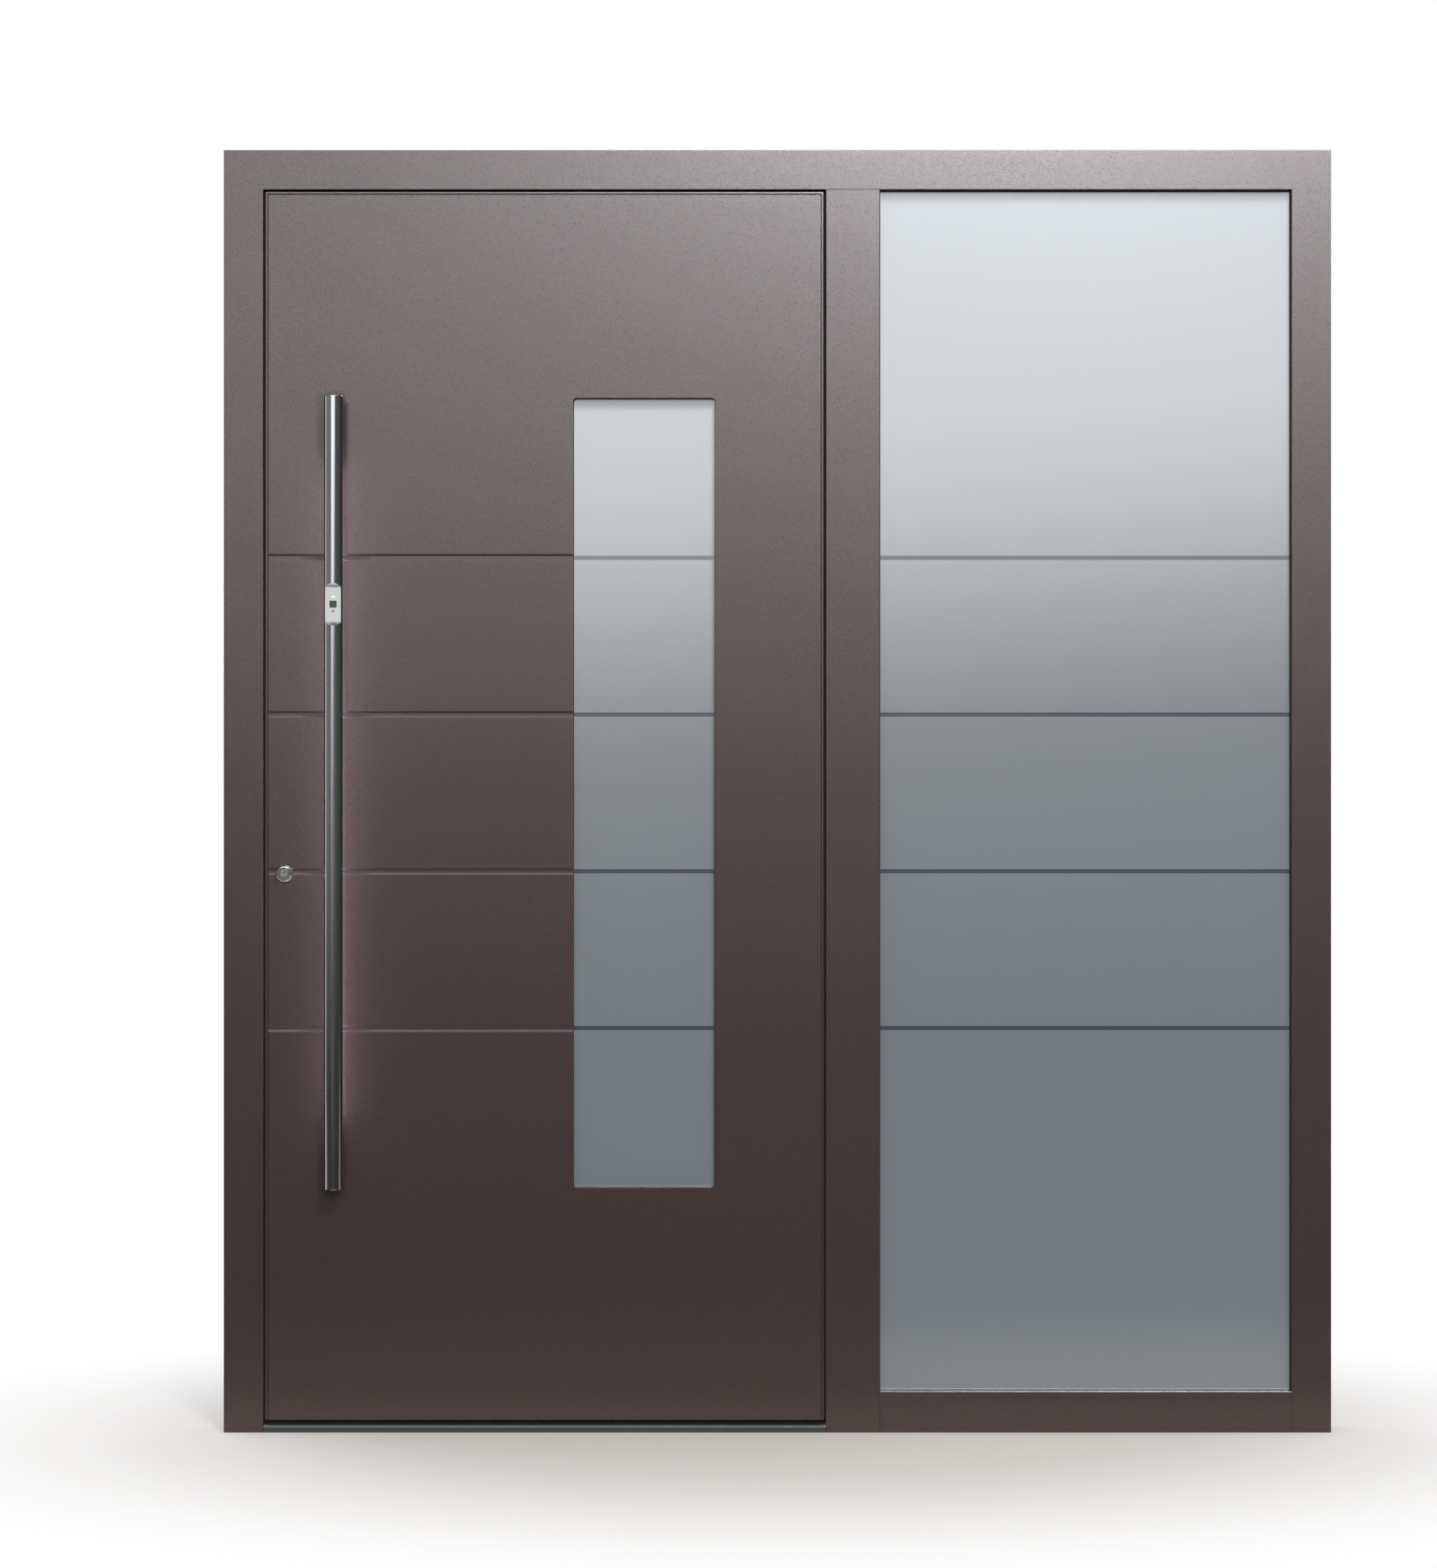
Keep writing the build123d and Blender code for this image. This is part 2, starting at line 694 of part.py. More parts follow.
def make_lock():
    """Rosette with a stepped dome and a dished middle, and the key plug that turns in it."""
    radius = rosette_diameter / 2
    floor = dish_depth - rosette_height
    crest = (rosette_crest / 2, -rosette_height)
    dome = TangentArc((radius, -rosette_side), crest, tangent=(0, -1))
    section = [
        (0, floor),
        (0, 0),
        (radius, 0),
        *[dome @ (step / dome_steps) for step in range(dome_steps + 1)],
        (dish_diameter / 2, -rosette_height),
        (dish_floor / 2, floor),
    ]
    rosette = revolve(make_face(Polyline(*section, close=True)), axis=Axis.Y)
    rosette = Pos(lock_x, outer_y, lock_z) * rosette
    plug_face = outer_y + floor - plug_proud
    rosette -= turned(lock_x, plug_z, plug_face, outer_y, bore_for_plug())
    plug = turned(lock_x, plug_z, plug_face, plug_face + plug_length, plug_diameter)
    plug -= key_slot(key_slot_turn, plug_face)
    return {"cylinder_rosette": rosette, "cylinder_plug": plug}


def rose(z):
    """Round cover plate on the inner face."""
    plate = turned(lock_x, z, inner_y, inner_y + rose_height, rose_diameter)
    return chamfer(plate.faces().sort_by(Axis.Y)[-1].edges(), rose_chamfer)


def make_inner_furniture():
    """Round lever with a mitred elbow on its rose, and the lock's inner rose with its own key plug."""
    rose_face = inner_y + rose_height
    elbow_y = inner_y + lever_standoff
    radius = lever_diameter / 2
    mitre = Plane(origin=(lock_x, elbow_y, lever_z), z_dir=(1, 1, 0))
    neck = turned(lock_x, lever_z, rose_face, elbow_y + radius, lever_diameter)
    neck = split(neck, bisect_by=mitre, keep=Keep.BOTTOM)
    grip = Plane.YZ.offset(lock_x - radius) * Pos(elbow_y, lever_z) * Circle(radius)
    grip = extrude(grip, radius + lever_length, dir=(1, 0, 0))
    grip = chamfer(grip.faces().sort_by(Axis.X)[-1].edges(), lever_tip_chamfer)
    grip = split(grip, bisect_by=mitre, keep=Keep.TOP)
    plug_face = rose_face + inner_plug_height
    lock_rose = rose(lock_z) + turned(lock_x, plug_z, rose_face, plug_face, inner_plug_diameter)
    lock_rose -= key_slot(inner_key_slot_turn, plug_face - key_slot_depth)
    return {
        "inner_lever": neck + grip,
        "inner_lever_rose": rose(lever_z),
        "inner_lock_rose": lock_rose,
    }


def faceplate_block():
    """Space of the lock's faceplate, flush with the leaf's edge."""
    y_range = (faceplate_y - faceplate_width / 2, faceplate_y + faceplate_width / 2)
    x_range = (leaf_back_left, leaf_back_left + faceplate_thickness)
    return block(x_range, y_range, (faceplate_low, faceplate_high))


def make_locking():
    """Faceplate and drawn-in bolts on the leaf's edge, and the keeps in the jamb."""
    faceplate = faceplate_block()
    bolts = []
    for place in bolt_places:
        faceplate -= bolt_block(place, leaf_back_left, faceplate_thickness, bolt_clearance)
        bolts.append(bolt_block(place, leaf_back_left, bolt_depth, 0))
    floor = door_left - rebate
    keeps = []
    for z_range in keep_ranges():
        plate = keep_plate(z_range)
        for place in bolt_places:
            if z_range[0] < place[0] < z_range[1]:
                plate -= bolt_block(place, floor, -faceplate_thickness, keep_mouth_clearance)
        keeps.append(plate)
    return {
        "lock_faceplate": faceplate,
        "lock_bolts": Compound(children=bolts),
        "keep_plates": Compound(children=keeps),
    }


def hinge_half(middle, spans, side, bore):
    """Knuckles and plate of one half; side is +1 on the frame and -1 on the leaf."""
    plate_start = hinge_x + side * hinge_plate_start
    plate_x = sorted((plate_start, plate_start + side * hinge_plate_width))
    plate_z = (middle - hinge_height / 2, middle + hinge_height / 2)
    half = block(plate_x, (inner_y, inner_y + hinge_plate_thickness), plate_z)
    neck_x = sorted((hinge_x, plate_start))
    neck_y = (hinge_y - hinge_barrel / 2, inner_y + hinge_plate_thickness)
    for low, high in spans:
        half += block(neck_x, neck_y, (low, high))
        half += rod(hinge_x, hinge_y, low, high, hinge_barrel)
    return half - rod(hinge_x, hinge_y, *plate_z, bore)


def make_hinges():
    """Three barrel hinges: pin and outer knuckles on the mullion, middle knuckle on the leaf."""
    frame_halves = []
    leaf_halves = []
    pins = []
    for middle in spread(leaf_low + hinge_from_end, leaf_back_top - hinge_from_end, hinge_count):
        low = middle - hinge_height / 2
        high = middle + hinge_height / 2
        knuckle = hinge_leaf_knuckle / 2
        outer_spans = [
            (low, middle - knuckle - hinge_knuckle_gap),
            (middle + knuckle + hinge_knuckle_gap, high),
        ]
        frame_halves.append(hinge_half(middle, outer_spans, 1, hinge_pin))
        inner_span = [(middle - knuckle, middle + knuckle)]
        leaf_halves.append(hinge_half(middle, inner_span, -1, hinge_pin + 2 * hinge_pin_clearance))
        pin = rod(hinge_x, hinge_y, low, high, hinge_pin)
        for end, cap_end in ((low, low - hinge_cap_height), (high, high + hinge_cap_height)):
            pin += rod(hinge_x, hinge_y, *sorted((end, cap_end)), hinge_barrel)
        pins.append(pin)
    return {
        "hinge_frame_halves": Compound(children=frame_halves),
        "hinge_leaf_halves": Compound(children=leaf_halves),
        "hinge_pins": Compound(children=pins),
    }


pieces = {
    **make_frame(),
    **make_threshold(),
    **make_sidelight(),
    **make_leaf(),
    **make_seals(),
    **make_handle(),
    **make_lock(),
    **make_inner_furniture(),
    **make_locking(),
    **make_hinges(),
}
os.makedirs("parts", exist_ok=True)
for name, shape in pieces.items():
    export_step(shape, f"parts/{name}.step")
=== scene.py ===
import json
import math

import bmesh
import bpy
from mathutils import Matrix, Vector


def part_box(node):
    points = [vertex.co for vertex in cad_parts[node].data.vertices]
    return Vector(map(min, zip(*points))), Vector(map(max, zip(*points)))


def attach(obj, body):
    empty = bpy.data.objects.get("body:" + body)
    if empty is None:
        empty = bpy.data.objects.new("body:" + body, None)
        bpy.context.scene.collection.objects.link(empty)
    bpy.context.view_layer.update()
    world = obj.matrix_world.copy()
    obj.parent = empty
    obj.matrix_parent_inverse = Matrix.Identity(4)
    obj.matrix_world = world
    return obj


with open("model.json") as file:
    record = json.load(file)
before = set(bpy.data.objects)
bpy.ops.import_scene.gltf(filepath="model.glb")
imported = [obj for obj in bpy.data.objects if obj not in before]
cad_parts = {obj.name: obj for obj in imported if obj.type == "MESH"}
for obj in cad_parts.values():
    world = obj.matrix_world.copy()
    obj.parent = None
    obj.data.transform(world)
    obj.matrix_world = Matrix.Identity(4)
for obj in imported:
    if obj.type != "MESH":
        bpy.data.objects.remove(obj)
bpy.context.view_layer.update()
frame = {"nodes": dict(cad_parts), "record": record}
nodes = frame["nodes"]
scene = bpy.context.scene
scene.view_settings.view_transform = "Standard"
mm = 0.001
print("frame loaded:", len(nodes), "nodes")


class Wire:  # a socket that can stand in a sum
    def __init__(self, finish, socket):
        self.finish = finish
        self.socket = socket

    def other(self, index):  # another output of the same node
        return Wire(self.finish, self.socket.node.outputs[index])

    def joined(self, operation, first, second):
        return self.finish.node("Math", {"operation": operation}, {0: first, 1: second})

    def larger(self, value):
        return self.joined("MAXIMUM", self, value)

    def __add__(self, value):
        return self.joined("ADD", self, value)

    def __radd__(self, value):
        return self.joined("ADD", value, self)

    def __sub__(self, value):
        return self.joined("SUBTRACT", self, value)

    def __rsub__(self, value):
        return self.joined("SUBTRACT", value, self)

    def __mul__(self, value):
        return self.joined("MULTIPLY", self, value)

    def __rmul__(self, value):
        return self.joined("MULTIPLY", value, self)

    def __abs__(self):
        return self.finish.node("Math", {"operation": "ABSOLUTE"}, {0: self})


class Finish:  # the node tree of a material or of the world
    def __init__(self, holder):
        holder.use_nodes = True
        self.tree = holder.node_tree
        self.tree.nodes.clear()

    def node(self, kind, settings=None, sockets=None, out=0):
        made = self.tree.nodes.new("ShaderNode" + kind)
        for key, value in (settings or {}).items():
            setattr(made, key, value)
        for key, value in (sockets or {}).items():
            if isinstance(value, Wire):
                self.tree.links.new(value.socket, made.inputs[key])
            else:
                made.inputs[key].default_value = value
        return Wire(self, made.outputs[out] if made.outputs else None)

    def place(self, stretch=(1, 1, 1)):  # object coordinates, stretched along the axes
        where = self.node("TexCoord", out=3)
        if stretch == (1, 1, 1):
            return where
        return self.node("Mapping", None, {"Vector": where, "Scale": stretch})

    def axes(self, vector):  # x, y and z of a vector
        across = self.node("SeparateXYZ", None, {0: vector})
        return across, across.other(1), across.other(2)

    def noise(self, where, scale, detail=2.0, roughness=0.5):
        sockets = {"Vector": where, "Scale": scale, "Detail": detail, "Roughness": roughness}
        return self.node("TexNoise", None, sockets)

    def cells(self, where, scale):  # one random grey for each flake
        made = self.node("TexVoronoi", None, {"Vector": where, "Scale": scale}, out=1)
        return self.node("SeparateColor", None, {"Color": made})

    def ease(self, value, low, high, toLow=0.0, toHigh=1.0):
        settings = {"interpolation_type": "SMOOTHSTEP"}
        sockets = {"Value": value, "From Min": low, "From Max": high, "To Min": toLow, "To Max": toHigh}
        return self.node("MapRange", settings, sockets)

    def mix(self, share, first, second):
        return self.node("Mix", {"data_type": "RGBA"}, {0: share, 6: first, 7: second}, out=2)

    def bump(self, height, strength, distance=0.2 * mm):
        return self.node("Bump", None, {"Height": height, "Strength": strength, "Distance": distance})

    def shade(self, **sockets):  # principled shader, with words of a socket's name joined
        plain = {key.replace("_", " "): value for key, value in sockets.items()}
        return self.node("BsdfPrincipled", None, plain)

    def blend(self, share, first, second):
        return self.node("MixShader", None, {0: share, 1: first, 2: second})

    def send(self, shader, kind="OutputMaterial"):
        self.node(kind, None, {"Surface": shader})


def tone(red, green, blue):  # a screen colour as linear light
    def linear(value):
        share = value / 255
        return share / 12.92 if share <= 0.04045 else ((share + 0.055) / 1.055) ** 2.4

    return (linear(red), linear(green), linear(blue), 1.0)


def newFinish(name):
    material = bpy.data.materials.new(name)
    return material, Finish(material)


# camera, square on to the street face

camera = {
    "x": -101.1 * mm,
    "z": 1112.6 * mm,
    "fromFace": 8.5,
    "imageHeight": 2689.7 * mm,
    "sensor": 36.0,
}


def placeCamera():
    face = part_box("leaf_outer_panel")[0].y
    data = bpy.data.cameras.new("street_view")
    data.sensor_width = camera["sensor"]
    data.lens = camera["sensor"] * camera["fromFace"] / camera["imageHeight"]
    eye = bpy.data.objects.new("street_view", data)
    eye.location = (camera["x"], face - camera["fromFace"], camera["z"])
    eye.rotation_euler = (math.radians(90), 0, 0)
    scene.collection.objects.link(eye)
    scene.camera = eye


# light: bright in front and overhead, dim low down, a low sun and one soft lamp
# a range goes from, to, and the values at both where they aren't 0 and 1

sky = {
    "white": tone(255, 255, 255),
    "highColour": (0.90, 0.965, 1.03, 1.0),
    "lowColour": (1.0, 0.96, 0.93, 1.0),
    "front": (0.0, 0.35, 1.0, 0.0),
    "bright": 1.80,                 # the patch that the face mirrors
    "rise": (-0.004, 0.078),        # heights are sines of the elevation
    "slope": 0.085,                 # the patch starts lower on the left
    "fade": (0.45, 0.75, 1.0, 0.0),
    "width": (0.27, 0.50, 1.0, 0.0),
    "aside": 0.12,                  # round the patch
    "above": (-0.05, 0.25),
    "lean": 0.65,                   # lighter on the left
    "haze": 0.14,
    "hazeRise": (-0.07, 0.004),
    "low": 0.05,
    "below": 0.42,                  # from further down
    "belowTop": (-0.25, -0.15, 1.0, 0.0),
    "belowEnd": (-0.78, -0.62),
    "behind": 0.85,
    "zenith": 1.7,
    "zenithRise": (0.76, 0.88),
    "sun": 51.0,
    "sunAside": math.radians(4.0),
    "sunUp": math.radians(15.8),
    "sunEdge": (math.cos(math.radians(6.8)), math.cos(math.radians(5.6))),
}
lamp = {
    "place": (1.7, -9.4, 6.3),
    "aim": (0.0, 0.0, 1.1),
    "width": 1.3,
    "height": 1.3,
    "power": 760.0,
}


def hangSky():
    world = bpy.data.worlds.new("open_sky")
    scene.world = world
    air = Finish(world)
    direction = air.node("TexCoord")
    across, depth, up = air.axes(direction)
    front = air.ease(depth, *sky["front"])
    above = air.ease(up, *sky["above"])
    haze = air.ease(up, *sky["hazeRise"]) * sky["haze"]
    lean = 1 - across * sky["lean"]
    patch = air.ease(up - across * sky["slope"], *sky["rise"]) * air.ease(up, *sky["fade"])
    patch = patch * air.ease(abs(across), *sky["width"]) * sky["bright"]
    flat = math.cos(sky["sunUp"])
    sunX, sunY = math.sin(sky["sunAside"]) * flat, -math.cos(sky["sunAside"]) * flat
    sunward = (sunX, sunY, math.sin(sky["sunUp"]))
    nearSun = air.node("VectorMath", {"operation": "DOT_PRODUCT"}, {0: direction, 1: sunward}, out=1)
    disc = air.ease(nearSun, *sky["sunEdge"]) * sky["sun"]
    below = air.ease(up, *sky["belowTop"]) * air.ease(up, *sky["belowEnd"]) * sky["below"]
    zenith = air.ease(up, *sky["zenithRise"]) * sky["zenith"]
    level = lean * (above * (sky["aside"] - sky["low"]) + haze) + sky["low"] + patch + disc + below
    level = front * level + (1 - front) * lean * sky["behind"] + zenith
    colour = air.mix(above, sky["lowColour"], sky["highColour"])
    seen = air.node("LightPath")
    around = air.node("Background", None, {"Color": colour, "Strength": level})
    backdrop = air.node("Background", None, {"Color": sky["white"], "Strength": 1.0})
    air.send(air.blend(seen, around, backdrop), "OutputWorld")


def hangLamp():
    data = bpy.data.lights.new("soft_lamp", "AREA")
    data.shape = "RECTANGLE"
    data.size = lamp["width"]
    data.size_y = lamp["height"]
    data.energy = lamp["power"]
    made = bpy.data.objects.new("soft_lamp", data)
    made.location = lamp["place"]
    toAim = Vector(lamp["aim"]) - Vector(lamp["place"])
    made.rotation_euler = toAim.to_track_quat("-Z", "Y").to_euler()
    scene.collection.objects.link(made)


floor = {
    "radius": 9.0,
    "segments": 96,
    "colour": tone(186, 178, 171),
    "light": tone(191, 183, 176),
    "grainScale": 60.0,
    "roughness": 0.8,
    "fade": (0.55, 1.7),                # into the white round it
    "nearDim": (0.1, 0.8, 0.0, 0.68),   # mirrored only close to the door
    "farDim": (0.5, 2.4, 0.0, 0.32),
}


def layFloor():
    made = bpy.data.meshes.new("floor")
    shape = bmesh.new()
    bmesh.ops.create_circle(shape, cap_ends=True, radius=floor["radius"], segments=floor["segments"])
    shape.to_mesh(made)
    shape.free()
    ground = bpy.data.objects.new("floor", made)
    scene.collection.objects.link(ground)
    material, look = newFinish("floor_pale")
    where = look.place()
    reach = look.node("VectorMath", {"operation": "LENGTH"}, {0: where}, out=1)
    grain = look.noise(where, floor["grainScale"], 4.0)
    pale = look.mix(grain, floor["colour"], floor["light"])
    solid = look.shade(Base_Color=pale, Roughness=floor["roughness"], Specular_IOR_Level=0.0)
    clear = look.node("BsdfTransparent")
    seen = look.node("LightPath")
    ahead = abs(look.axes(where)[1])
    dim = look.ease(ahead, *floor["nearDim"]) + look.ease(ahead, *floor["farDim"])
    away = seen * look.ease(reach, *floor["fade"]) + (1 - seen) * dim
    look.send(look.blend(away, solid, clear))
    made.materials.append(material)


placeCamera()
hangSky()
hangLamp()
layFloor()
print("camera, light and floor set")


# finishes

paint = {
    "base": tone(41, 30, 28),
    "dark": tone(37, 26, 24),
    "light": tone(48, 38, 35),
    "flakeScale": 1500.0,
    "grainScale": 480.0,
    "cloudScale": 3.0,
    "speckleScale": 350.0,
    "flakes": (0.1, 0.9),
    "clouds": (0.3, 0.7, 0.3, 0.6),
    "glint": (0.34, 0.66, 0.0, 0.32),
    "relief": 0.06,
    "roughness": 0.165,
    "grainRough": 0.06,
    "flakeRough": 0.02,
    "gloss": {
        "Specular_IOR_Level": 0.675,
        "Specular_Tint": (1.0, 0.90, 0.872, 1.0),
        "Coat_Roughness": 0.165,
    },
    "matt": {"Roughness": 0.6, "Specular_IOR_Level": 0.1},
    "dullShare": 0.88,
    "dullFrom": {"frame_paint": 0.4 * mm, "leaf_paint": 2.6 * mm},  # thinner in the joints
    "faceSkin": (0.05 * mm, 0.4 * mm),
}
# the paint goes matt in the grooves beside the light strip, and in a painted shadow beside the bar and
# round its ends
paintedBarShadow = {
    "lit": (25 * mm, 70 * mm, 1.0, 0.0),    # grooves beside the light strip
    "near": (12 * mm, 18 * mm, 0.9, 0.0),   # painted shadow right behind the bar
    "wide": (14 * mm, 34 * mm, 0.42, 0.0),  # painted shadow at the ends, past the light strip
    "shift": 7 * mm,
    "below": 22 * mm,
    "stripEnd": (-10 * mm, 25 * mm),
}


def mattJointsAndPaintedShadow(look, where, name):  # 1 in the joints, less in the painted shadow round the bar
    across, depth, up = look.axes(where)
    face, back = (corner.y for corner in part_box("frame_head"))
    skin, deep = paint["faceSkin"]
    start = face + paint["dullFrom"][name]
    inside = look.ease(depth, face + skin, face + deep) * look.ease(depth, back - deep, back, 1.0, 0.0)
    joint = look.ease(depth, start, start + mm)
    barLow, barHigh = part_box("handle_bar")
    stripLow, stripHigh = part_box("handle_light_strip")
    fromBar = across - (barLow.x + barHigh.x) / 2
    fromMiddle = abs(up - (barLow.z + barHigh.z) / 2)
    halfBar, halfStrip = (barHigh.z - barLow.z) / 2, (stripHigh.z - stripLow.z) / 2
    # painted shadow of the bar: matt paint behind it and round its ends, so the reflection drops there
    covered = look.ease(fromMiddle, halfBar, halfBar + paintedBarShadow["below"], 1.0, 0.0)
    unlit = look.ease(fromMiddle, *(halfStrip + end for end in paintedBarShadow["stripEnd"]))
    near = look.ease(abs(fromBar), *paintedBarShadow["near"])
    wide = look.ease(abs(fromBar + paintedBarShadow["shift"]), *paintedBarShadow["wide"])
    groove = joint.larger(look.ease(abs(fromBar), *paintedBarShadow["lit"]))
    return (inside * groove).larger(covered * near.larger(unlit * wide))


def brownPaint(name):
    material, look = newFinish(name)
    where = look.place()
    flake = look.cells(where, paint["flakeScale"])
    grain = look.noise(where, paint["grainScale"], 3.0, 0.6)
    cloud = look.noise(where, paint["cloudScale"], 3.0)
    speckle = look.noise(where, paint["speckleScale"], 2.0, 0.6)
    shade = look.mix(look.ease(flake, *paint["flakes"]), paint["dark"], paint["light"])
    colour = look.mix(look.ease(cloud, *paint["clouds"]), shade, paint["base"])
    lowest = paint["roughness"] - (paint["grainRough"] + paint["flakeRough"]) / 2
    rough = lowest + grain * paint["grainRough"] + flake * paint["flakeRough"]
    relief = look.bump(grain, paint["relief"])
    glint = look.ease(speckle, *paint["glint"])
    gloss = look.shade(
        Base_Color=colour, Roughness=rough, Normal=relief, Coat_Weight=glint, **paint["gloss"]
    )
    matt = look.shade(Base_Color=colour, **paint["matt"])
    look.send(look.blend(mattJointsAndPaintedShadow(look, where, name) * paint["dullShare"], gloss, matt))
    return material


glass = {
    "satin": tone(97, 101, 104),
    "satinLight": tone(102, 106, 109),
    "frostScale": 900.0,
    "cloudScale": 2.2,
    "stripe": tone(50, 57, 63),
    "stripeHeight": 7.3 * mm,
    "firstStripe": 693.0 * mm,
    "pitch": 269.5 * mm,
    "stripes": 4,
    "soft": 0.5 * mm,
    "stripeCoat": 0.75,                         # share of the coat that the stripes lack
    "sealWidth": 10 * mm,
    "shade": tone(66, 70, 73),                  # painted shade in the recess, at its top and right edge
    "under": (9 * mm, 24 * mm, 0.75, 0.0),
    "beside": (-2 * mm, 10 * mm, 0.75, 0.0),
    "roughness": 0.07,
    "frostRough": 0.04,
    "stripeRough": -0.03,
    "surface": {"Specular_IOR_Level": 0.75, "IOR": 1.8, "Coat_Roughness": 0.06, "Coat_IOR": 2.2},
}


def satinGlass(name):
    material, look = newFinish(name)
    where = look.place()
    across, up = look.axes(where)[::2]
    window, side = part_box("leaf_window_seals")[1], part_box("sidelight_seals")[1]
    aside = look.ease(across, 0.0, 0.1)  # 0 in the leaf, 1 in the side panel
    top = aside * (side.z - window.z) + (window.z - glass["sealWidth"])
    right = aside * (side.x - window.x) + (window.x - glass["sealWidth"])
    # painted shade: under the top edge of each pane and beside its right edge the glass is darker and
    # loses most of its coat
    shade = look.ease(top - up, *glass["under"]).larger(look.ease(right - across, *glass["beside"]))
    half = glass["stripeHeight"] / 2

    def band(index):
        off = abs(up - (glass["firstStripe"] + index * glass["pitch"]))
        return look.ease(off, half - glass["soft"], half + glass["soft"], 1.0, 0.0)

    stripe = sum(band(index) for index in range(glass["stripes"]))
    frost = look.noise(where, glass["frostScale"])
    cloud = look.noise(where, glass["cloudScale"], 3.0)
    satin = look.mix(frost * 0.5 + cloud * 0.5, glass["satin"], glass["satinLight"])
    colour = look.mix(shade * 0.5, look.mix(stripe, satin, glass["stripe"]), glass["shade"])
    rough = glass["roughness"] + frost * glass["frostRough"] + stripe * glass["stripeRough"]
    coat = 1 - shade.larger(stripe * glass["stripeCoat"])
    look.send(look.shade(Base_Color=colour, Roughness=rough, Coat_Weight=coat, **glass["surface"]))
    return material


pane = {"colour": tone(196, 212, 206), "roughness": 0.02, "clear": 0.07, "edge": 0.9, "index": 1.5}


def clearGlass(name):
    material, look = newFinish(name)
    alpha = look.node("Fresnel", None, {"IOR": pane["index"]}) * pane["edge"] + pane["clear"]
    look.send(look.shade(
        Base_Color=pane["colour"], Roughness=pane["roughness"], Alpha=alpha, Specular_IOR_Level=0.8
    ))
    return material


seal = {
    "dark": tone(40, 36, 35),
    "light": tone(52, 47, 46),
    "lowShadow": tone(14, 13, 13),
    "lowShadowTo": (20 * mm, 26 * mm, 1.0, 0.0),  # painted shadow, near black down by the threshold
    "grainScale": 500.0,
    "relief": 0.2,
    "roughness": 0.55,
    "grainRough": 0.1,
}


def sealRubber(name):
    material, look = newFinish(name)
    where = look.place()
    grain = look.noise(where, seal["grainScale"], 4.0, 0.6)
    # painted shadow: the seal goes near black low down, by the threshold
    lowShadowShare = look.ease(look.axes(where)[2], *seal["lowShadowTo"])
    colour = look.mix(lowShadowShare, look.mix(grain, seal["dark"], seal["light"]), seal["lowShadow"])
    rough = seal["roughness"] + grain * seal["grainRough"]
    relief = look.bump(grain, seal["relief"])
    look.send(look.shade(Base_Color=colour, Roughness=rough, Normal=relief, Specular_IOR_Level=0.08))
    return material


strip = {
    "colour": tone(235, 230, 238),
    "glow": [(0.84, 0.80, 1.0, 1.0), (0.90, 0.86, 1.0, 1.0)],
    "power": 36.0,
    "roughness": 0.5,
    "stretch": (1, 1, 40),
    "scale": 1.0,
}
readerLamp = {
    "colour": tone(120, 190, 120),
    "glow": [(0.22, 0.75, 0.28, 1.0), (0.34, 0.85, 0.38, 1.0)],
    "power": 0.6,
    "roughness": 0.3,
    "stretch": (1, 1, 1),
    "scale": 900.0,
}


def glowing(name, light):
    material, look = newFinish(name)
    glow = look.mix(look.noise(look.place(light["stretch"]), light["scale"]), *light["glow"])
    look.send(look.shade(
        Base_Color=light["colour"], Roughness=light["roughness"],
        Emission_Color=glow, Emission_Strength=light["power"],
    ))
    return material


def lightDiffuser(name):
    return glowing(name, strip)


def lampGreen(name):
    return glowing(name, readerLamp)


reader = {
    "dark": tone(154, 152, 148),
    "light": tone(165, 163, 159),
    "steel": tone(180, 183, 186),
    "flank": (12.9 * mm, 13.3 * mm),  # the round flanks beside the plate are steel like the bar
    "grainScale": 900.0,
    "roughness": 0.36,
    "grainRough": 0.08,
    "flankRough": -0.26,
}


def readerGrey(name):
    material, look = newFinish(name)
    low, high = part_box("reader_housing")
    where = look.place()
    grain = look.noise(where, reader["grainScale"], 4.0, 0.6)
    aside = abs(look.axes(where)[0] - (low.x + high.x) / 2)
    flank = look.ease(aside, *reader["flank"])
    colour = look.mix(flank, look.mix(grain, reader["dark"], reader["light"]), reader["steel"])
    rough = reader["roughness"] + grain * reader["grainRough"] + flank * reader["flankRough"]
    look.send(look.shade(Base_Color=colour, Roughness=rough, Metallic=flank, Specular_IOR_Level=0.25))
    return material


